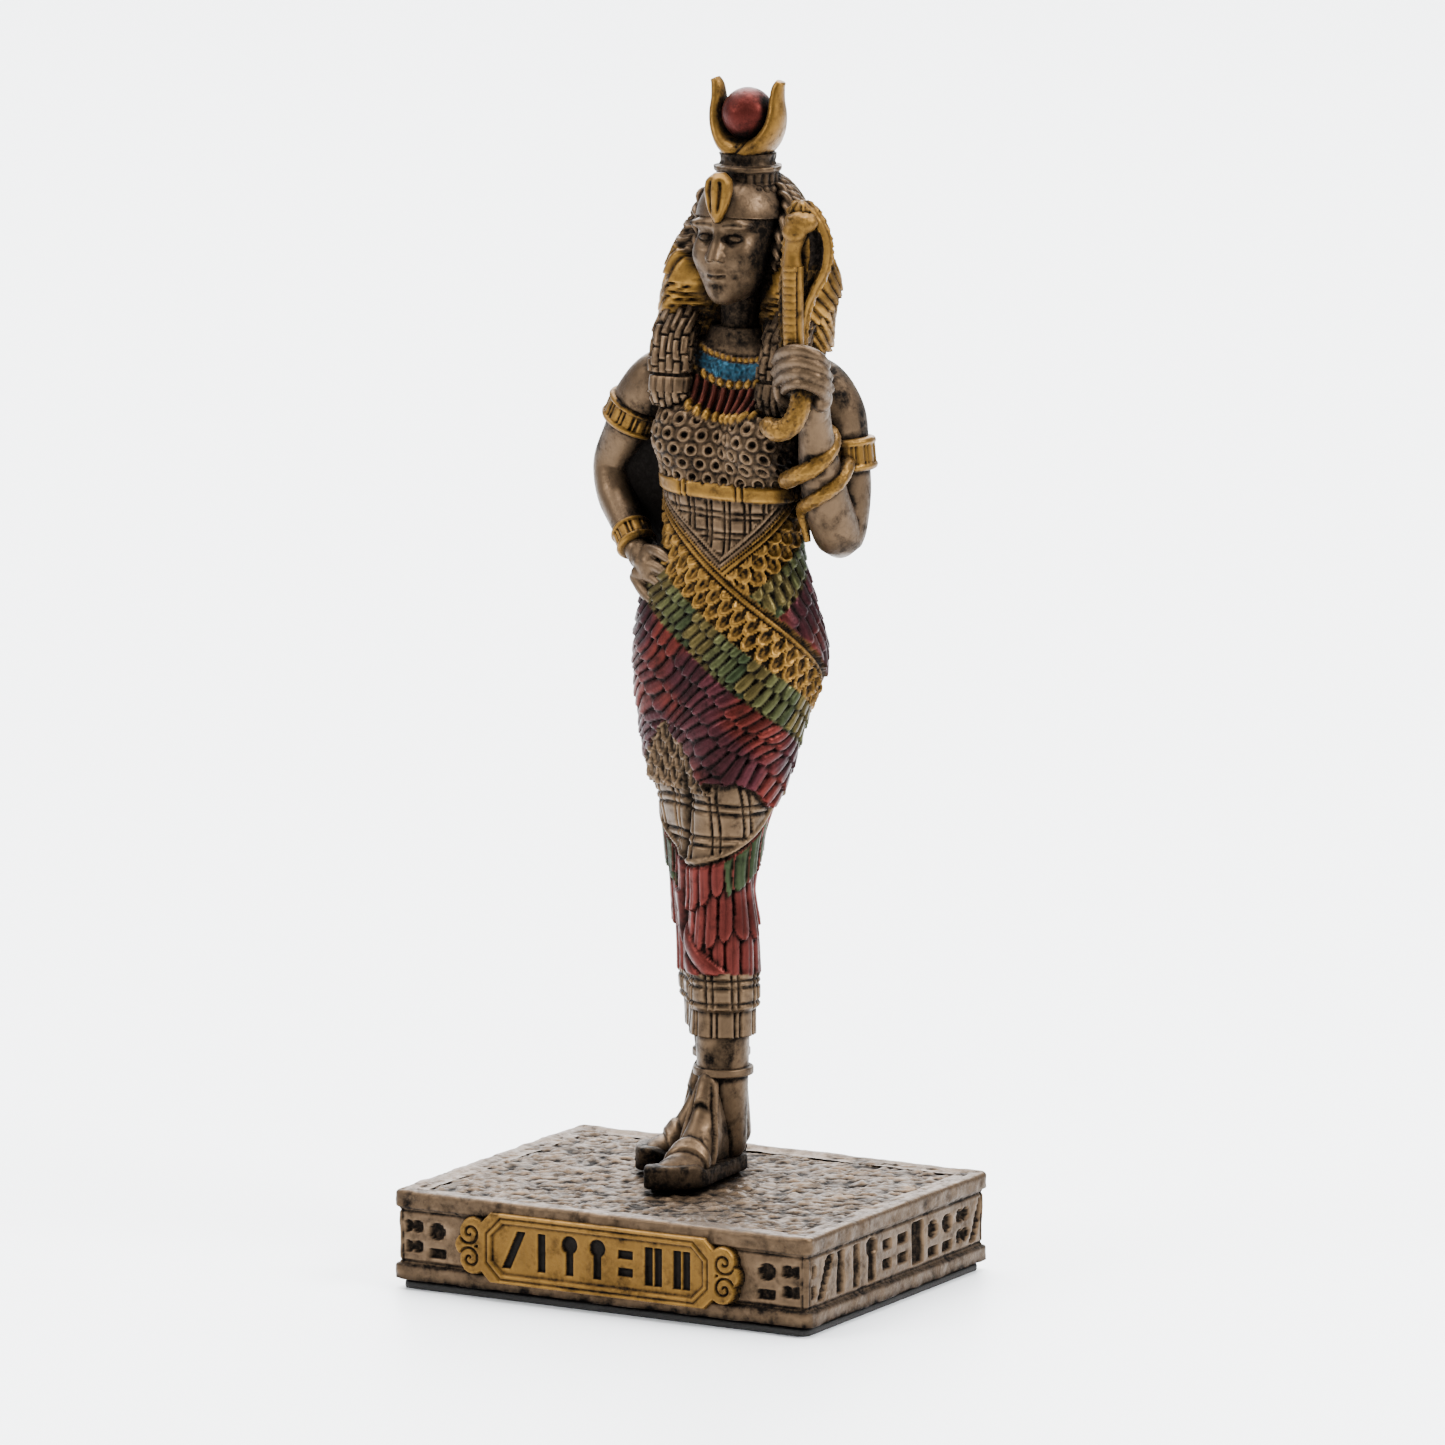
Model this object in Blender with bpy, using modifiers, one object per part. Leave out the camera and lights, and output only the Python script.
"""Small cast figure of the cow-horned goddess, standing on an oblong plinth.

Run with: blender --background --python part.py

The figure is one casting: gown, arms, head, wig, crown and the cobra in its left hand.
It stands on a cast plinth with mouldings, a name plate and incised panels, and the plinth
has a thin felt pad beneath. Metres, +Z up, the figure faces -Y, and its own left is +X.
The origin is the middle of the felt pad's underside.
"""

import math

import bmesh
import bpy
import numpy as np
from mathutils import Euler, Matrix, Vector

MM = 0.001

# Plinth
PLINTH_WIDTH = 35.0 * MM
PLINTH_DEPTH = 27.4 * MM
SLAB_THICKNESS = 1.3 * MM
PANEL_HEIGHT = 4.2 * MM
FOOT_MOULDING_HEIGHT = 1.1 * MM
PANEL_SETBACK = 0.3 * MM
SLAB_ROUNDING = 0.35 * MM
FOOT_ROUNDING = 0.2 * MM
CORNER_RADIUS = 0.7 * MM

# Felt pad
PAD_THICKNESS = 0.5 * MM
PAD_INSET = 0.5 * MM

# Gap that keeps two touching solids apart
SEAT_GAP = 0.3 * MM

# Name plate on the front panel
PLATE_WIDTH = 24.2 * MM
PLATE_HEIGHT = 5.4 * MM
PLATE_PROUD = 0.45 * MM
PLATE_SCROLL = 2.2 * MM
PLATE_RIM = 0.55 * MM
PLATE_SINK = 0.3 * MM
PLATE_CORNER = 0.55 * MM

# Rows of strokes cut into the plate and the panels
STROKE_WIDTH = 0.32 * MM
STROKE_DEPTH = 0.22 * MM
STROKE_MARGIN = 0.75 * MM
STROKE_LEANS = (0, 14, 0, -12, 6)

# Figure: its forms are shares of its own height. One figure unit is a millimetre at the real size.
FIGURE_HEIGHT = 81.0 * MM
FIGURE_UNITS = 81.0
UNIT = FIGURE_HEIGHT / FIGURE_UNITS
VOXEL_UNITS = 0.26
FIGURE_TRIANGLES = 8200

PLINTH_BASE = PAD_THICKNESS + SEAT_GAP
FOOT_TOP = PLINTH_BASE + FOOT_MOULDING_HEIGHT
PANEL_TOP = FOOT_TOP + PANEL_HEIGHT
PLINTH_TOP = PANEL_TOP + SLAB_THICKNESS

# Gown and trunk in figure units: height, then x, y and radius of the lobe on the figure's left,
# the same of the lobe on its right, and how widely the two melt together.
TRUNK = (
    (10.4, 1.10, 2.7, 2.55, -1.80, 6.3, 2.15, 3.6),
    (14.0, 1.20, 2.7, 2.45, -1.95, 6.2, 2.20, 3.6),
    (17.4, 1.25, 2.6, 2.50, -2.10, 6.0, 2.30, 3.6),
    (22.4, 1.05, 2.3, 2.50, -2.30, 5.6, 2.50, 3.4),
    (26.0, 1.60, 2.4, 2.85, -2.30, 5.3, 2.90, 3.2),
    (29.0, 2.15, 2.7, 3.35, -2.50, 5.2, 3.30, 3.0),
    (33.6, 2.60, 3.3, 4.15, -2.20, 5.0, 4.15, 3.0),
    (36.6, 2.80, 3.9, 4.55, -2.15, 5.0, 4.50, 3.0),
    (39.5, 2.80, 4.3, 4.65, -2.00, 5.0, 4.60, 3.0),
    (42.5, 2.55, 4.5, 4.25, -1.70, 4.9, 4.25, 3.0),
    (45.4, 2.30, 4.6, 3.70, -0.95, 4.8, 3.70, 3.0),
    (47.4, 2.50, 4.7, 3.40, -0.80, 4.8, 3.40, 3.0),
    (50.4, 2.70, 4.8, 3.40, -1.20, 4.8, 3.40, 3.0),
    (53.4, 2.90, 4.9, 3.45, -1.50, 4.9, 3.45, 3.0),
    (56.4, 3.60, 5.0, 3.20, -1.70, 5.0, 3.20, 3.0),
    (58.4, 4.60, 5.1, 2.75, -2.10, 5.1, 2.75, 3.0),
    (60.2, 4.40, 5.2, 2.10, -1.90, 5.2, 2.10, 2.6),
    (61.6, 2.70, 5.1, 1.75, 0.00, 5.1, 1.75, 2.0),
    (63.0, 1.75, 5.0, 1.70, 0.95, 5.0, 1.70, 1.0),
    (67.0, 1.45, 5.0, 1.65, 1.25, 5.0, 1.65, 0.6),
)

# Rounded masses that swell out of the trunk: x, y, z, radius and how widely they melt in.
SWELLINGS = (
    (-1.75, 2.75, 54.6, 2.65, 0.9),
    (4.15, 2.75, 54.6, 2.65, 0.9),
    (1.30, 5.20, 58.8, 2.35, 1.8),
    (-2.10, 6.60, 37.8, 3.60, 2.0),
    (2.90, 6.40, 37.8, 3.60, 2.0),
    (1.15, 2.10, 23.6, 2.30, 1.5),
)


# Carving of the gown in figure units. Two folded wings cross below the waist. A place on the gown
# is its height and its arc, the distance round the gown from the front, longer to the figure's left.
WING_CROSSING = (1.3, 45.2)
OVER_WING = (-0.573, -0.819)
UNDER_WING = (0.691, -0.723)
WING_TIP_HEIGHT = 29.5
WING_RIM, WING_RIM_RISE = 0.9, 0.38
FEATHER_TIERS = (0.9, 2.7, 5.4, 7.9, 10.5, 13.1, 15.8, 18.6)
FEATHER_RISE = 0.34
WAIST_BAND, WAIST_BAND_DROP = 50.9, 0.045
WAIST_BAND_WIDTH, WAIST_BAND_RISE = 1.15, 0.35
LOWER_RIM_HEIGHT, LOWER_RIM_CURVE = 23.2, 0.062
LOWER_RIM_WIDTH, LOWER_RIM_RISE = 0.8, 0.35
HEM_BAND_TOP, HEM_BAND_RISE = 12.3, 0.3


def clear_scene():
    for obj in list(bpy.data.objects):
        bpy.data.objects.remove(obj)


def make_collection(name):
    collection = bpy.data.collections.new(name)
    bpy.context.scene.collection.children.link(collection)
    return collection


def make_material(name, colour, roughness, metallic):
    material = bpy.data.materials.new(name)
    material.use_nodes = True
    shader = material.node_tree.nodes["Principled BSDF"]
    shader.inputs["Base Color"].default_value = (*colour, 1.0)
    shader.inputs["Roughness"].default_value = roughness
    shader.inputs["Metallic"].default_value = metallic
    return material


def mesh_object(name, vertices, faces):
    mesh = bpy.data.meshes.new(name)
    mesh.from_pydata([tuple(v) for v in vertices], [], faces)
    mesh.update()
    return bpy.data.objects.new(name, mesh)


def table_at(table, heights):
    """The table's columns at the given heights, through its rows by a smooth curve."""
    rows = np.array(table, float)
    z, columns = rows[:, 0], rows[:, 1:]
    slopes = np.gradient(columns, z, axis=0)
    heights = np.clip(np.atleast_1d(heights), z[0], z[-1])
    k = np.clip(np.searchsorted(z, heights, side="right") - 1, 0, len(z) - 2)
    step = (z[k + 1] - z[k])[:, None]
    t = (heights - z[k])[:, None] / step
    return (
        (2 * t**3 - 3 * t**2 + 1) * columns[k]
        + (t**3 - 2 * t**2 + t) * step * slopes[k]
        + (-2 * t**3 + 3 * t**2) * columns[k + 1]
        + (t**3 - t**2) * step * slopes[k + 1]
    )


def melt(a, b, width):
    """The smaller of two distances, rounded where they are nearly equal."""
    h = np.clip(0.5 + 0.5 * (b - a) / width, 0, 1)
    return b * (1 - h) + a * h - width * h * (1 - h)


def trunk_distance(x, y, z, rows):
    """How far a point lies outside the gown and trunk. rows is TRUNK at each point's height."""
    x1, y1, r1, x2, y2, r2, width = rows
    d = melt(np.hypot(x - x1, y - y1) - r1, np.hypot(x - x2, y - y2) - r2, width)
    for cx, cy, cz, radius, spread in SWELLINGS:
        d = melt(d, np.sqrt((x - cx) ** 2 + (y - cy) ** 2 + (z - cz) ** 2) - radius, spread)
    return d


def trunk_surface(heights, angles):
    """Points of the gown and trunk, a ring for each height. Angle 0 is the front."""
    rows = table_at(TRUNK, heights)
    centre_x = ((rows[:, 0] + rows[:, 3]) / 2)[:, None]
    centre_y = ((rows[:, 1] + rows[:, 4]) / 2)[:, None]
    z = np.repeat(np.asarray(heights, float)[:, None], len(angles), axis=1)
    out_x, out_y = np.sin(angles)[None, :], -np.cos(angles)[None, :]
    columns = [rows[:, i][:, None] for i in range(7)]
    near, far = np.zeros_like(z), np.full_like(z, 14.0)
    for _ in range(30):
        middle = (near + far) / 2
        inside = trunk_distance(centre_x + middle * out_x, centre_y + middle * out_y, z, columns) < 0
        near, far = np.where(inside, middle, near), np.where(inside, far, middle)
    reach = (near + far) / 2
    return np.stack([centre_x + reach * out_x, centre_y + reach * out_y, z], axis=-1)


def loft(name, rings):
    """A closed mesh through rings of equally many points, with flat ends."""
    rings = np.asarray(rings)
    count, sides = rings.shape[:2]
    faces = [
        (
            i * sides + j,
            i * sides + (j + 1) % sides,
            (i + 1) * sides + (j + 1) % sides,
            (i + 1) * sides + j,
        )
        for i in range(count - 1)
        for j in range(sides)
    ]
    faces.append(tuple(reversed(range(sides))))
    faces.append(tuple((count - 1) * sides + j for j in range(sides)))
    made = mesh_object(name, rings.reshape(-1, 3), faces)
    shell = bmesh.new()
    shell.from_mesh(made.data)
    bmesh.ops.recalc_face_normals(shell, faces=shell.faces)
    shell.to_mesh(made.data)
    shell.free()
    return made


def oval_loft(name, table, sides=40, notch=None, exponent=2.0):
    """A loft of ovals. Each row of the table is z, centre x, centre y, half width, half depth."""
    rows = np.array(table, float)
    angles = np.arange(sides) * 2 * math.pi / sides
    rings = []
    for row in rows:
        z, cx, cy, rx, ry = row[:5]
        s, c = np.sin(angles), np.cos(angles)
        r = (np.abs(s) ** exponent + np.abs(c) ** exponent) ** (-1 / exponent)
        if notch is not None:
            r = r * notch(angles, row)
        rings.append(np.stack([cx + rx * r * s, cy - ry * r * c, np.full(sides, z)], axis=1))
    return loft(name, rings)


def mesh_of(obj):
    """A mesh object that takes the place of an object with modifiers, or of a curve."""
    bpy.context.scene.collection.objects.link(obj)
    depsgraph = bpy.context.evaluated_depsgraph_get()
    mesh = bpy.data.meshes.new_from_object(obj.evaluated_get(depsgraph))
    made = bpy.data.objects.new(obj.name, mesh)
    made.matrix_world = obj.matrix_world
    bpy.data.objects.remove(obj)
    welded = bmesh.new()
    welded.from_mesh(mesh)
    bmesh.ops.remove_doubles(welded, verts=welded.verts, dist=1e-6)
    welded.to_mesh(mesh)
    welded.free()
    return made


def limb(name, stations, bevel_resolution=4, resolution=8):
    """A round limb through stations of x, y, z and radius."""
    curve = bpy.data.curves.new(name, "CURVE")
    curve.dimensions = "3D"
    curve.bevel_depth = 1.0
    curve.bevel_resolution = bevel_resolution
    curve.use_fill_caps = True
    curve.resolution_u = resolution
    spline = curve.splines.new("BEZIER")
    spline.bezier_points.add(len(stations) - 1)
    for point, (x, y, z, radius) in zip(spline.bezier_points, stations):
        point.co = (x, y, z)
        point.handle_left_type = point.handle_right_type = "AUTO"
        point.radius = radius
    return mesh_of(bpy.data.objects.new(name, curve))


def ellipsoid(name, centre, radii, turn=(0, 0, 0), segments=32, rings=20):
    shape = bmesh.new()
    bmesh.ops.create_uvsphere(shape, u_segments=segments, v_segments=rings, radius=1.0)
    matrix = Matrix.Translation(centre) @ Euler([math.radians(a) for a in turn]).to_matrix().to_4x4()
    bmesh.ops.transform(shape, matrix=matrix @ Matrix.Diagonal((*radii, 1)), verts=shape.verts)
    mesh = bpy.data.meshes.new(name)
    shape.to_mesh(mesh)
    shape.free()
    return bpy.data.objects.new(name, mesh)


def turned(name, profile, centre, steps=48):
    """A shape turned about the vertical through centre, from a profile of radius and height."""
    mesh = bpy.data.meshes.new(name)
    points = [(0.0, profile[0][1])] + list(profile) + [(0.0, profile[-1][1])]
    mesh.from_pydata([(r, 0, z) for r, z in points], [(i, i + 1) for i in range(len(points) - 1)], [])
    made = bpy.data.objects.new(name, mesh)
    screw = made.modifiers.new("Turn", "SCREW")
    screw.steps = screw.render_steps = steps
    screw.use_merge_vertices = True
    screw.merge_threshold = 0.0001
    made.location = centre
    made = mesh_of(made)
    made.data.transform(made.matrix_world)
    made.matrix_world = Matrix.Identity(4)
    return made


def ring(name, centre, major, minor, turn=(0, 0, 0), squeeze=(1, 1, 1)):
    """A band or bracelet: a torus, which may be squeezed to an oval."""
    bpy.ops.mesh.primitive_torus_add(
        major_radius=major, minor_radius=minor, major_segments=36, minor_segments=10
    )
    made = bpy.context.active_object
    made.name = name
    matrix = Matrix.Translation(centre) @ Euler([math.radians(a) for a in turn]).to_matrix().to_4x4()
    made.data.transform(matrix @ Matrix.Diagonal((*squeeze, 1)))
    for collection in made.users_collection:
        collection.objects.unlink(made)
    return made


# Limbs in figure units: stations of x, y, z and radius.
NECK = ((1.35, 5.2, 61.0, 1.75), (1.35, 5.0, 63.5, 1.55), (1.4, 4.8, 67.0, 1.6))
RIGHT_ARM = (
    (-3.4, 5.2, 59.2, 1.6),
    (-5.6, 5.4, 58.3, 2.05),
    (-7.4, 5.7, 56.6, 2.05),
    (-9.0, 6.2, 53.9, 1.75),
    (-10.3, 6.6, 51.2, 1.6),
    (-9.8, 6.0, 49.4, 1.5),
    (-8.4, 4.8, 47.8, 1.3),
    (-7.0, 3.7, 46.5, 1.12),
    (-5.9, 2.9, 45.3, 1.0),
)
LEFT_ARM = (
    (5.8, 5.2, 59.3, 1.6),
    (7.6, 5.4, 58.6, 2.0),
    (8.8, 5.6, 56.9, 2.1),
    (9.4, 5.9, 53.6, 1.85),
    (9.65, 5.8, 50.4, 1.8),
    (9.6, 4.9, 47.9, 1.8),
    (9.6, 3.4, 49.7, 1.75),
    (9.6, 2.0, 53.0, 1.55),
    (9.9, 0.7, 56.2, 1.25),
    (10.3, -0.3, 58.4, 1.15),
)
LEFT_SHIN = ((1.1, 2.7, 12.5, 2.0), (1.05, 2.75, 8.0, 1.92), (1.1, 2.9, 5.0, 1.7), (1.1, 3.2, 2.2, 1.5))
RIGHT_SHIN = ((-1.6, 6.3, 12.5, 1.9), (-1.2, 6.4, 8.2, 1.85), (-0.9, 6.6, 5.0, 1.7), (-0.6, 6.9, 2.2, 1.5))
# The fist: each finger from its tip round the cobra to its knuckle.
FIST_FINGERS = (
    (
        (7.8, -1.4, 61.2, 0.36),
        (8.9, -2.4, 62.0, 0.42),
        (10.6, -2.8, 62.4, 0.44),
        (11.6, -2.3, 62.0, 0.46),
        (11.7, -1.1, 61.2, 0.44),
    ),
    (
        (7.8, -1.5, 60.4, 0.36),
        (9.0, -2.5, 61.2, 0.42),
        (10.7, -2.9, 61.6, 0.44),
        (11.9, -2.3, 61.1, 0.46),
        (11.9, -1.1, 60.3, 0.44),
    ),
    (
        (8.0, -1.6, 59.7, 0.36),
        (9.4, -2.6, 60.5, 0.42),
        (10.8, -2.95, 60.8, 0.44),
        (12.0, -2.3, 60.3, 0.46),
        (12.0, -1.1, 59.5, 0.44),
    ),
    (
        (8.8, -1.9, 59.2, 0.34),
        (9.8, -2.7, 59.8, 0.40),
        (10.9, -2.9, 60.0, 0.42),
        (11.8, -2.3, 59.6, 0.44),
        (11.8, -1.1, 58.8, 0.42),
    ),
)
COBRA_TAIL = (
    (9.9, -1.3, 60.6, 0.80),
    (10.3, -2.0, 59.2, 0.75),
    (10.15, -2.3, 57.8, 0.75),
    (9.5, -2.5, 56.7, 0.75),
    (8.5, -2.5, 56.3, 0.72),
    (7.7, -2.1, 56.5, 0.66),
    (7.0, -0.6, 56.3, 0.55),
    (7.2, 1.8, 56.0, 0.50),
    (8.6, 3.7, 55.8, 0.50),
    (10.2, 2.7, 55.4, 0.55),
    (10.7, 1.2, 54.4, 0.60),
    (10.0, 0.2, 53.4, 0.62),
    (8.6, 0.2, 52.7, 0.62),
    (7.2, 1.3, 52.1, 0.58),
    (7.3, 2.9, 52.2, 0.50),
    (8.8, 4.4, 52.8, 0.48),
    (10.5, 4.2, 53.3, 0.48),
    (11.2, 3.0, 53.0, 0.50),
    (11.1, 1.8, 52.1, 0.52),
    (10.1, 1.1, 51.2, 0.52),
    (8.9, 1.5, 50.5, 0.50),
    (7.8, 2.6, 49.7, 0.42),
    (7.75, 3.0, 48.6, 0.30),
    (7.9, 3.2, 47.4, 0.20),
)
COBRA_HOOD = (
    (61.0, 9.10, -1.25, 0.80, 0.70),
    (62.8, 9.00, -1.00, 0.95, 0.75),
    (64.5, 8.95, -0.75, 1.12, 0.75),
    (65.5, 9.05, -0.70, 1.30, 0.75),
    (66.5, 9.25, -0.60, 1.55, 0.70),
    (67.5, 9.60, -0.55, 1.80, 0.70),
    (68.6, 9.80, -0.50, 1.95, 0.70),
    (69.8, 9.88, -0.50, 1.95, 0.75),
    (70.9, 9.85, -0.60, 1.72, 0.85),
    (71.8, 9.80, -0.80, 1.38, 0.90),
    (72.5, 9.75, -0.95, 0.95, 0.80),
    (72.9, 9.70, -1.00, 0.40, 0.40),
)
COBRA_BELLY = ((9.3, -1.4, 60.8, 0.78), (9.3, -1.5, 65.0, 0.78), (9.35, -1.6, 68.3, 0.8))
COBRA_THROAT = ((9.4, -1.6, 68.2, 0.75), (9.75, -1.6, 69.3, 0.5), (9.95, -1.6, 70.7, 0.7))

# Wig in figure units: height, centre x and y, half width, half depth, how far the front is cut away,
# and how far round from the front the cut reaches, in degrees.
WIG = (
    (56.6, 1.30, 7.4, 3.8, 1.6, 0.0, 48),
    (58.5, 1.20, 6.9, 5.2, 2.5, 0.2, 48),
    (60.5, 1.10, 6.3, 6.0, 3.5, 0.6, 48),
    (63.0, 1.25, 6.0, 6.3, 4.0, 0.75, 48),
    (65.5, 1.60, 6.0, 6.4, 4.2, 0.72, 48),
    (67.5, 1.70, 6.0, 5.85, 4.3, 0.65, 52),
    (69.5, 1.70, 5.9, 5.0, 4.3, 0.55, 68),
    (71.2, 1.65, 5.7, 4.05, 4.2, 0.5, 85),
    (72.4, 1.60, 5.6, 3.3, 3.8, 0.45, 95),
    (73.3, 1.50, 5.5, 2.5, 3.0, 0.35, 98),
    (73.8, 1.50, 5.5, 1.6, 2.0, 0.2, 98),
)
WIG_TIER_TOP, WIG_TIER, WIG_TIER_FLARE = 71.4, 2.4, 0.35
WIG_OPENING_EDGE = math.radians(9)

# Crown in figure units: radius and height down the outside of the modius.
CROWN_CENTRE = (1.65, 5.4)
MODIUS = (
    (1.9, 76.2),
    (2.1, 75.3),
    (2.0, 74.75),
    (2.1, 74.5),
    (2.5, 74.38),
    (2.5, 74.1),
    (2.2, 73.9),
    (2.2, 73.2),
    (2.45, 72.9),
    (2.45, 72.0),
)
# Horns: offset across, height, half thickness and half depth, from the middle to one tip.
HORN = (
    (0.0, 75.30, 0.55, 2.00),
    (1.3, 75.45, 0.60, 1.95),
    (2.1, 76.05, 0.62, 1.70),
    (2.45, 77.00, 0.52, 1.30),
    (2.50, 78.10, 0.46, 1.00),
    (2.40, 79.20, 0.42, 0.80),
    (2.50, 80.10, 0.42, 0.60),
    (2.75, 80.62, 0.28, 0.40),
)
DISC_HEIGHT, DISC_RADIUS = 78.15, 1.76

# Foot: share of the length from the heel, half width, underside and top in figure units.
FOOT = (
    (0.00, 0.70, 0.25, 1.70),
    (0.07, 1.15, 0.05, 2.80),
    (0.22, 1.35, 0.00, 5.20),
    (0.36, 1.35, 0.00, 7.60),
    (0.43, 1.35, 0.00, 7.20),
    (0.52, 1.45, 0.00, 5.20),
    (0.64, 1.58, 0.00, 3.60),
    (0.76, 1.72, 0.00, 2.50),
    (0.90, 1.66, 0.00, 1.70),
    (1.00, 1.15, 0.20, 1.10),
)


def arcs_of(rings):
    """The distance round each ring from its front point, shorter than nothing on the figure's right."""
    middle = rings.shape[1] // 2
    turned_rings = np.roll(rings, middle, axis=1)
    steps = np.linalg.norm(np.diff(turned_rings, axis=1), axis=-1)
    walked = np.concatenate([np.zeros((len(rings), 1)), np.cumsum(steps, axis=1)], axis=1)
    return np.roll(walked - walked[:, middle : middle + 1], -middle, axis=1)


def ridge(distance, width, rise):
    """A raised border with rounded edges, width across."""
    return rise * np.clip(1.35 - (2 * distance / width) ** 2, 0, 1) ** 0.5


def wing_depth(arc, z):
    """How far a place lies below the rim of the wing that covers it, and which wing that is."""
    across, up = arc - WING_CROSSING[0], z - WING_CROSSING[1]
    over = OVER_WING[0] * across + OVER_WING[1] * up
    under = UNDER_WING[0] * across + UNDER_WING[1] * up
    return np.where(over > 0, over, under), over > 0


def gown_relief(arc, z):
    """The height of the carving at each place of the gown."""
    depth, _ = wing_depth(arc, z)
    waist = WAIST_BAND - WAIST_BAND_DROP * arc
    lower_rim = LOWER_RIM_HEIGHT + LOWER_RIM_CURVE * arc**2
    lower_rim = np.minimum(lower_rim, WING_TIP_HEIGHT - 1)
    rise = ridge(depth - WING_RIM / 2, WING_RIM, WING_RIM_RISE)
    for start, end in zip(FEATHER_TIERS, FEATHER_TIERS[1:]):
        share = (depth - start) / (end - start)
        tier = FEATHER_RISE * (0.15 + 0.85 * share)
        rise = np.where((share > 0) & (share <= 1), tier, rise)
    rise = np.where((z < WING_TIP_HEIGHT) | (z > waist), 0.0, rise)
    below = (lower_rim - z) / 5.0
    rise = np.where((below > 0) & (below < 1), FEATHER_RISE * (0.2 + 0.8 * below), rise)
    rise = np.maximum(rise, ridge(z - waist, WAIST_BAND_WIDTH, WAIST_BAND_RISE))
    rise = np.maximum(rise, ridge(z - lower_rim, LOWER_RIM_WIDTH, LOWER_RIM_RISE))
    return np.where(z < HEM_BAND_TOP, HEM_BAND_RISE, rise)


def trunk():
    heights = np.linspace(TRUNK[0][0], TRUNK[-1][0], 180)
    angles = np.arange(144) * 2 * math.pi / 144
    rings = trunk_surface(heights, angles)
    rise = gown_relief(arcs_of(rings), rings[..., 2])
    rings[..., 0] += rise * np.sin(angles)
    rings[..., 1] -= rise * np.cos(angles)
    return loft("trunk", rings)


def foot(name, heel, toe, outward):
    """A foot from heel to toe. outward is 1 where the little toe lies to the left of that line."""
    heel, toe = Vector((*heel, 0)), Vector((*toe, 0))
    along = (toe - heel).normalized()
    across = Vector((0, 0, 1)).cross(along) * outward
    length = (toe - heel).length
    slant = 0.45
    rings = []
    for share, half, low, high in FOOT:
        ring_points = []
        for k in range(20):
            turn = k * 2 * math.pi / 20
            side = half * math.cos(turn)
            lift = (math.sin(turn) + 1) / 2
            z = low + (high - low) * lift
            step = share * length - slant * side * share**2
            ring_points.append(heel + along * step + across * side * (1 - 0.35 * lift) + Vector((0, 0, z)))
        rings.append([tuple(p) for p in ring_points])
    return loft(name, rings)


def head():
    x = 1.4
    pieces = [
        ellipsoid("cranium", (x, 5.0, 70.2), (3.05, 3.6, 3.6)),
        ellipsoid("jaw", (x, 3.3, 67.5), (2.4, 2.35, 3.05)),
        ellipsoid("chin", (x, 1.8, 65.5), (1.0, 0.85, 0.8)),
        limb("nose", ((x, 1.4, 69.9, 0.2), (x, 0.9, 68.9, 0.26), (x, 0.6, 68.05, 0.38))),
        ellipsoid("lips", (x, 1.1, 66.65), (0.9, 0.45, 0.32)),
    ]
    for side in (-1, 1):
        pieces.append(ellipsoid("eye", (x + side * 1.15, 1.75, 69.4), (0.62, 0.4, 0.3)))
        pieces.append(ellipsoid("cheek", (x + side * 1.3, 2.2, 67.9), (0.9, 0.8, 1.0)))
        pieces.append(limb("nostril", ((x + side * 0.15, 0.8, 67.95, 0.28), (x + side * 0.38, 1.1, 67.9, 0.2))))
    return pieces


def feathered(table, step=0.4):
    """The wig's rows with feather tiers, each flaring out a little towards its lower edge."""
    rows = np.array(table, float)
    heights = np.arange(rows[0, 0], rows[-1, 0], step)
    smooth = np.column_stack([heights, table_at(table, heights)])
    share = (WIG_TIER_TOP - heights) / WIG_TIER
    flare = WIG_TIER_FLARE * (share - np.floor(share)) * (heights < WIG_TIER_TOP)
    smooth[:, 3] += flare
    smooth[:, 4] += flare
    return smooth


def wig_front(angles, row):
    away = np.minimum(angles, 2 * math.pi - angles)
    t = np.clip((away - math.radians(row[6]) + WIG_OPENING_EDGE) / (2 * WIG_OPENING_EDGE), 0, 1)
    return 1 - row[5] * (1 - t * t * (3 - 2 * t))


def wig():
    pieces = [
        oval_loft("wig", feathered(WIG), sides=96, notch=wig_front),
        ellipsoid("cap", (1.4, 5.35, 70.4), (3.4, 4.05, 3.7)),
    ]
    for side in (-1, 1):
        middle = 1.5 + side * 4.6
        pieces.append(
            oval_loft(
                "lappet",
                (
                    (56.9, middle - side * 0.2, 2.1, 1.15, 0.6),
                    (57.3, middle - side * 0.2, 2.1, 1.30, 0.8),
                    (59.5, middle - side * 0.1, 2.4, 1.40, 0.9),
                    (61.3, middle, 2.9, 1.45, 1.1),
                    (62.4, middle, 3.6, 1.40, 1.2),
                    (63.5, middle, 4.6, 1.30, 1.2),
                    (64.5, middle, 5.2, 1.10, 1.1),
                ),
                sides=32,
                exponent=4.0,
            )
        )
    return pieces


def horns():
    half = np.array(HORN)
    stations = np.concatenate([half[:0:-1] * (-1, 1, 1, 1), half])
    path = stations[:, :2]
    tangents = np.gradient(path, axis=0)
    tangents /= np.linalg.norm(tangents, axis=1)[:, None]
    rings = []
    for (across, z, thick, deep), (tx, tz) in zip(stations, tangents):
        turn = np.arange(20) * 2 * math.pi / 20
        out = thick * np.cos(turn)
        rings.append(
            np.stack(
                [
                    CROWN_CENTRE[0] + across + out * tz,
                    CROWN_CENTRE[1] + deep * np.sin(turn),
                    z - out * tx,
                ],
                axis=1,
            )
        )
    return loft("horns", rings)


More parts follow.
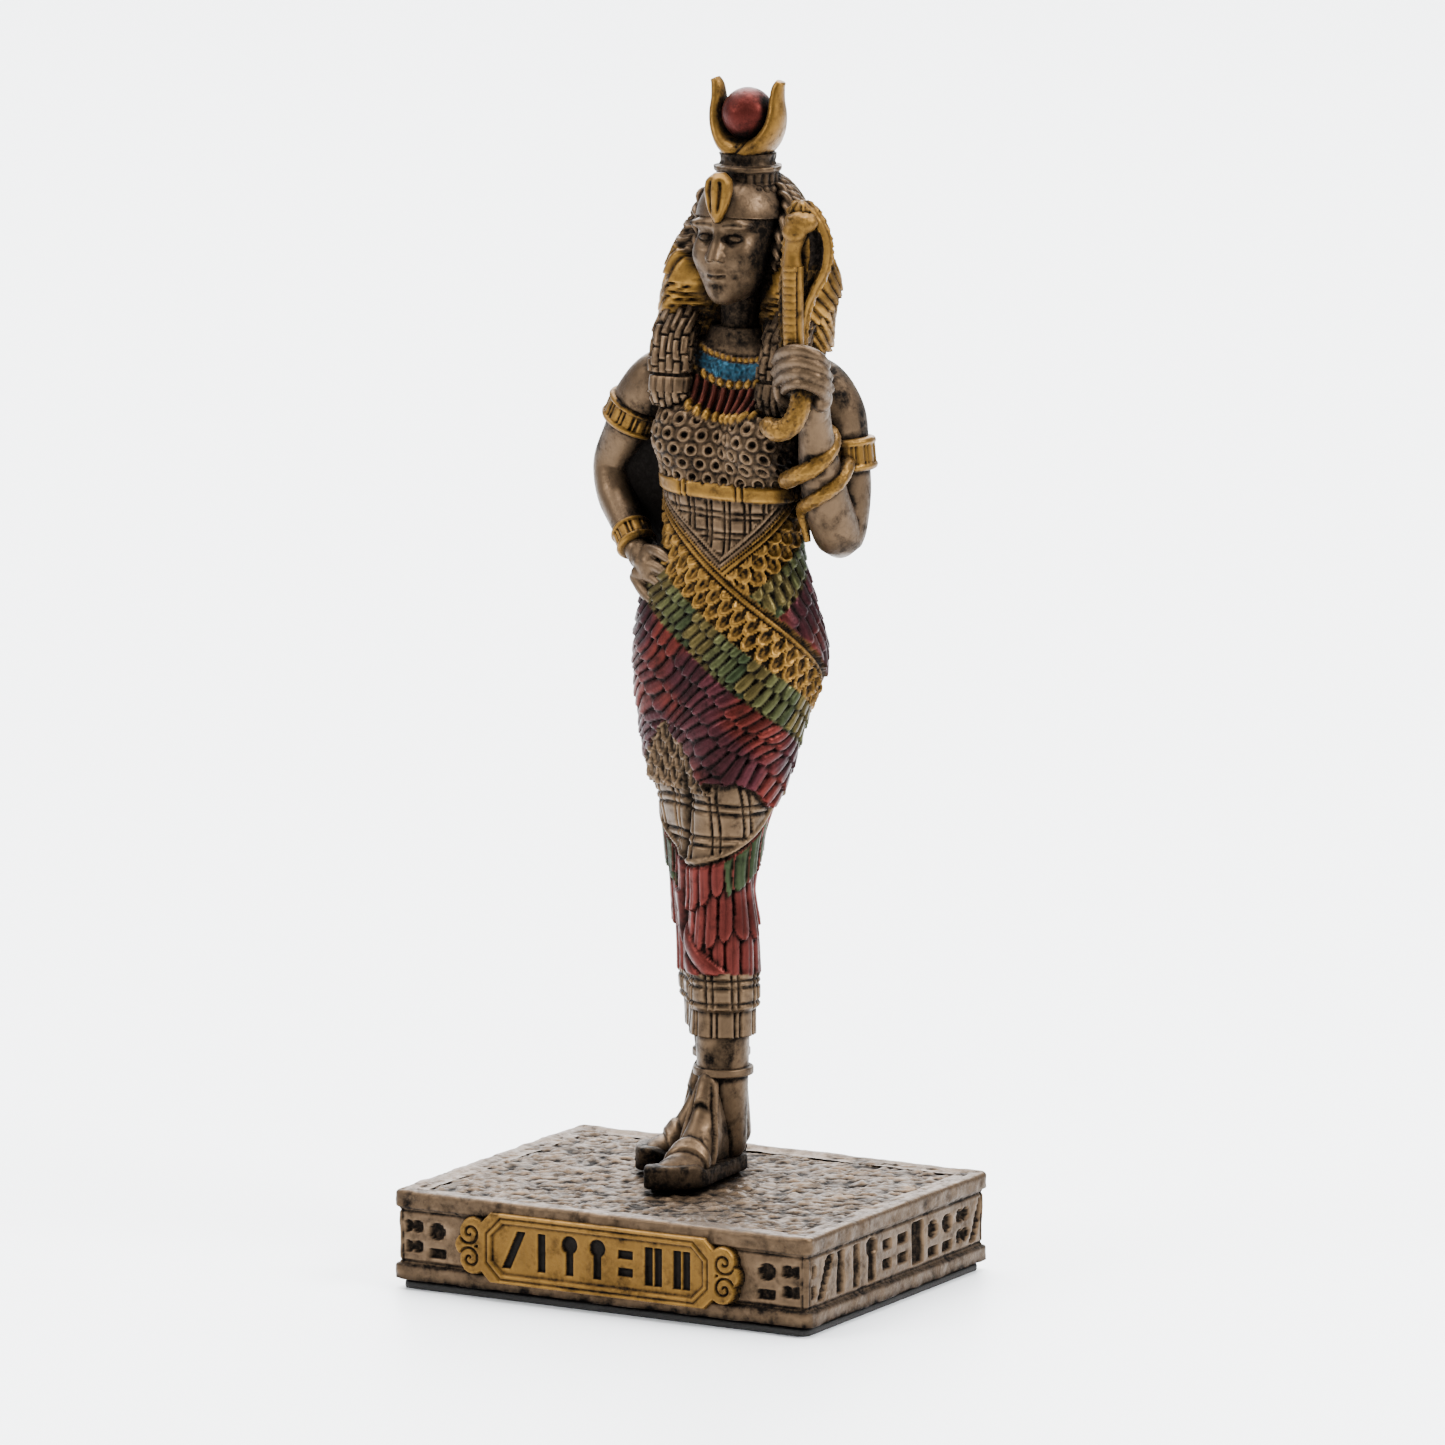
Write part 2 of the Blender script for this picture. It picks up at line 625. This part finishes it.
def crown():
    x, y = CROWN_CENTRE
    return [
        turned("modius", MODIUS, (x, y, 0)),
        horns(),
        ellipsoid("sun_disc", (x, y, DISC_HEIGHT), (DISC_RADIUS,) * 3),
        oval_loft(
            "uraeus",
            (
                (70.6, 1.4, 1.45, 0.25, 0.4),
                (71.2, 1.4, 1.35, 0.6, 0.6),
                (72.2, 1.4, 1.4, 0.95, 0.75),
                (73.1, 1.4, 1.5, 1.1, 0.8),
                (73.8, 1.4, 1.6, 0.9, 0.75),
                (74.2, 1.4, 1.7, 0.4, 0.4),
            ),
            sides=24,
        ),
        ellipsoid("uraeus_neck", (1.4, 2.9, 72.3), (0.7, 1.5, 1.2)),
    ]


def right_hand():
    """The hand on the hip, its fingers spread forward and down."""
    palm = ellipsoid("palm", (-5.1, 2.3, 44.7), (1.35, 0.85, 1.35), (0, 25, -35))
    fingers = (
        ((-5.1, 2.4, 45.9, 0.46), (-3.7, 1.7, 45.9, 0.42), (-2.5, 1.4, 45.4, 0.34)),
        ((-5.5, 2.0, 45.0, 0.50), (-3.7, 1.6, 44.8, 0.48), (-1.9, 1.0, 44.0, 0.36)),
        ((-5.8, 2.1, 44.2, 0.48), (-4.1, 1.7, 43.9, 0.46), (-2.6, 1.1, 43.1, 0.34)),
        ((-6.0, 2.3, 43.8, 0.52), (-4.9, 1.8, 42.8, 0.50), (-3.3, 1.1, 42.0, 0.36)),
    )
    return [palm] + [limb("finger", f) for f in fingers]


def left_hand():
    """The fist that closes round the cobra."""
    pieces = [ellipsoid("fist", (10.4, -1.1, 60.2), (1.55, 1.35, 1.75))]
    pieces += [limb("finger", finger) for finger in FIST_FINGERS]
    pieces.append(limb("thumb", ((9.0, 0.2, 57.9, 0.6), (7.9, -0.8, 58.6, 0.5), (7.9, -1.3, 59.6, 0.42))))
    return pieces


def cobra():
    return [
        oval_loft("hood", COBRA_HOOD, sides=32),
        limb("belly", COBRA_BELLY),
        limb("throat", COBRA_THROAT),
        ellipsoid("cobra_head", (10.05, -1.6, 71.6), (1.2, 0.95, 0.75), (15, 0, 0)),
        limb("tail", COBRA_TAIL, resolution=10),
    ]


def webs():
    """The thin casting that closes the gaps between the arms and the waist."""
    return [
        ellipsoid("right_web", (-5.9, 6.3, 51.6), (4.6, 0.55, 4.8)),
        ellipsoid("left_web", (7.2, 6.0, 52.8), (2.6, 0.55, 4.6)),
    ]


def bands():
    """Armlets, bracelet, anklets and the gown's borders."""
    return [
        ring("right_armlet", (-8.1, 5.95, 55.4), 1.85, 0.45, (0, 30, 0), (1, 1, 1.6)),
        ring("left_armlet", (9.3, 5.85, 53.6), 2.0, 0.45, (0, -4, 0), (1, 1, 1.8)),
        ring("bracelet", (-7.0, 3.7, 46.5), 1.15, 0.35, (0, 50, 143), (1, 1, 1.8)),
        ring("left_anklet", (1.06, 2.8, 7.65), 1.92, 0.3),
        ring("right_anklet", (-1.15, 6.4, 8.2), 1.85, 0.3),
    ]


def joined(name, pieces):
    """One object of all the pieces' meshes. The pieces are used up."""
    shape = bmesh.new()
    for piece in pieces:
        piece.data.transform(piece.matrix_world)
        shape.from_mesh(piece.data)
        bpy.data.objects.remove(piece)
    mesh = bpy.data.meshes.new(name)
    shape.to_mesh(mesh)
    shape.free()
    return bpy.data.objects.new(name, mesh)


def fuse(name, pieces):
    """One closed casting of all the pieces, with about FIGURE_TRIANGLES triangles."""
    made = joined(name, pieces)
    remesh = made.modifiers.new("Fuse", "REMESH")
    remesh.mode = "VOXEL"
    remesh.voxel_size = VOXEL_UNITS
    made = mesh_of(made)
    triangles = sum(len(p.vertices) - 2 for p in made.data.polygons)
    thin = made.modifiers.new("Thin", "DECIMATE")
    thin.ratio = FIGURE_TRIANGLES / triangles
    thin.use_collapse_triangulate = True
    made = mesh_of(made)
    made.data.transform(Matrix.Translation((0, 0, PLINTH_TOP + SEAT_GAP)) @ Matrix.Scale(UNIT, 4))
    return made


def figure():
    pieces = [trunk(), limb("neck", NECK), limb("right_arm", RIGHT_ARM), limb("left_arm", LEFT_ARM)]
    pieces += [limb("left_shin", LEFT_SHIN), limb("right_shin", RIGHT_SHIN)]
    pieces += [foot("left_foot", (0.95, 4.8), (0.7, -4.9), 1), foot("right_foot", (-0.4, 8.0), (-4.9, 1.2), -1)]
    pieces += head() + wig() + crown() + right_hand() + left_hand() + cobra() + webs() + bands()
    return fuse("figure", pieces)


def finish(made, name, collection, material):
    made.name = made.data.name = name
    made.data.materials.clear()
    made.data.materials.append(material)
    made.data.shade_smooth()
    collection.objects.link(made)


def rounded_outline(width, depth, radius, z, corner_steps=4):
    """A ring of points round a rectangle with rounded corners."""
    points = []
    for k, (sx, sy) in enumerate(((1, 1), (-1, 1), (-1, -1), (1, -1))):
        for j in range(corner_steps + 1):
            turn = math.radians(90) * (k + j / corner_steps)
            points.append(
                (
                    sx * (width / 2 - radius) + radius * math.cos(turn),
                    sy * (depth / 2 - radius) + radius * math.sin(turn),
                    z,
                )
            )
    return points


def rounded_edge(top, radius):
    """Levels of height and inset up a rounded upper edge."""
    steps = [math.radians(30 * k) for k in range(4)]
    return [(top - radius * (1 - math.sin(a)), radius * (1 - math.cos(a))) for a in steps]


def plinth_block():
    """Foot moulding, set-back panel and slab in one closed shape."""
    levels = [(PLINTH_BASE, 0.0)] + rounded_edge(FOOT_TOP, FOOT_ROUNDING)
    levels += [(FOOT_TOP, PANEL_SETBACK), (PANEL_TOP, PANEL_SETBACK)]
    levels += [(PANEL_TOP, 0.0)] + rounded_edge(PLINTH_TOP, SLAB_ROUNDING)
    return loft(
        "plinth",
        [
            rounded_outline(PLINTH_WIDTH - 2 * inset, PLINTH_DEPTH - 2 * inset, CORNER_RADIUS, z)
            for z, inset in levels
        ],
    )


def combine(base, tool, operation):
    """base cut or joined by tool, as a mesh. The tool is used up."""
    bpy.context.scene.collection.objects.link(tool)
    change = base.modifiers.new("Change", "BOOLEAN")
    change.operation = operation
    change.solver = "EXACT"
    change.object = tool
    made = mesh_of(base)
    bpy.data.objects.remove(tool)
    return made


def box(name, centre, size, turn=0.0):
    """A box, turned by an angle about the Y axis."""
    shape = bmesh.new()
    bmesh.ops.create_cube(shape, size=1.0)
    matrix = Matrix.Translation(centre) @ Matrix.Rotation(turn, 4, "Y")
    bmesh.ops.transform(shape, matrix=matrix @ Matrix.Diagonal((*size, 1)), verts=shape.verts)
    mesh = bpy.data.meshes.new(name)
    shape.to_mesh(mesh)
    shape.free()
    return bpy.data.objects.new(name, mesh)


def plate_outline(shrink):
    """The plate's outline, with stepped corners, from the middle of the plate."""
    half, tall = PLATE_WIDTH / 2 - shrink, PLATE_HEIGHT / 2 - shrink
    step = PLATE_CORNER
    corner = [(half, tall - 2 * step), (half - step, tall - step), (half - 2 * step, tall)]
    points = corner + [(-x, z) for x, z in reversed(corner)]
    return points + [(-x, -z) for x, z in corner] + [(x, -z) for x, z in reversed(corner)]


def plate():
    """The name plate, with a raised rim, standing proud of the front panel."""
    middle = (FOOT_TOP + PANEL_TOP) / 2
    front = -PLINTH_DEPTH / 2
    faces = (
        (0.0, front + PANEL_SETBACK + PLATE_PROUD),
        (0.0, front - PLATE_PROUD),
        (PLATE_RIM, front - PLATE_PROUD),
        (PLATE_RIM, front - PLATE_PROUD + PLATE_SINK),
    )
    return loft("plate", [[(x, y, z + middle) for x, z in plate_outline(shrink)] for shrink, y in faces])


def strokes(start, end, count, middle, tall, at, side=False):
    """Shallow upright and slanting strokes in a row, which are no letters. at is the face they cut."""
    made = []
    pitch = (end - start) / count
    for k in range(count):
        along = start + pitch * (k + 0.5)
        lean = STROKE_LEANS[k % len(STROKE_LEANS)]
        length = tall * (1.0 - 0.25 * (k % 3 == 1))
        centre = (at, along, middle) if side else (along, at, middle)
        size = (STROKE_WIDTH, 2 * STROKE_DEPTH, length)
        stroke = box("stroke", (0, 0, 0), size, math.radians(lean))
        turn = Matrix.Rotation(math.radians(90), 4, "Z") if side else Matrix.Identity(4)
        stroke.data.transform(Matrix.Translation(centre) @ turn)
        made.append(stroke)
    return made


def plinth():
    """Foot moulding, panel and slab with the name plate, in one casting."""
    made = combine(plinth_block(), plate(), "UNION")
    middle = (FOOT_TOP + PANEL_TOP) / 2
    front = -PLINTH_DEPTH / 2
    inner = PLATE_WIDTH / 2 - PLATE_SCROLL
    outer = PLINTH_WIDTH / 2 - CORNER_RADIUS - PANEL_SETBACK
    deep = PLINTH_DEPTH / 2 - CORNER_RADIUS - PANEL_SETBACK
    tall = PANEL_HEIGHT - 2 * STROKE_MARGIN
    rows = strokes(-inner, inner, 13, middle, tall, front - PLATE_PROUD + PLATE_SINK)
    beside = PLATE_WIDTH / 2 + STROKE_MARGIN
    for side in (-1, 1):
        rows += strokes(side * beside, side * outer, 3, middle, tall, front + PANEL_SETBACK)
        rows += strokes(-deep, deep, 14, middle, tall, side * (PLINTH_WIDTH / 2 - PANEL_SETBACK), True)
    return combine(made, joined("strokes", rows), "DIFFERENCE")


def felt_pad():
    outline = (PLINTH_WIDTH - 2 * PAD_INSET, PLINTH_DEPTH - 2 * PAD_INSET, CORNER_RADIUS)
    return loft("felt_pad", [rounded_outline(*outline, 0.0), rounded_outline(*outline, PAD_THICKNESS)])


def main():
    clear_scene()
    parts = make_collection("hathor_statue")
    bronze = make_material("cast_bronze_resin", (0.34, 0.25, 0.18), 0.4, 0.6)
    stone = make_material("plinth_bronze_resin", (0.36, 0.28, 0.22), 0.5, 0.5)
    felt = make_material("black_felt", (0.02, 0.02, 0.02), 0.95, 0.0)
    finish(figure(), "figure", parts, bronze)
    finish(plinth(), "plinth", parts, stone)
    finish(felt_pad(), "felt_pad", parts, felt)


main()
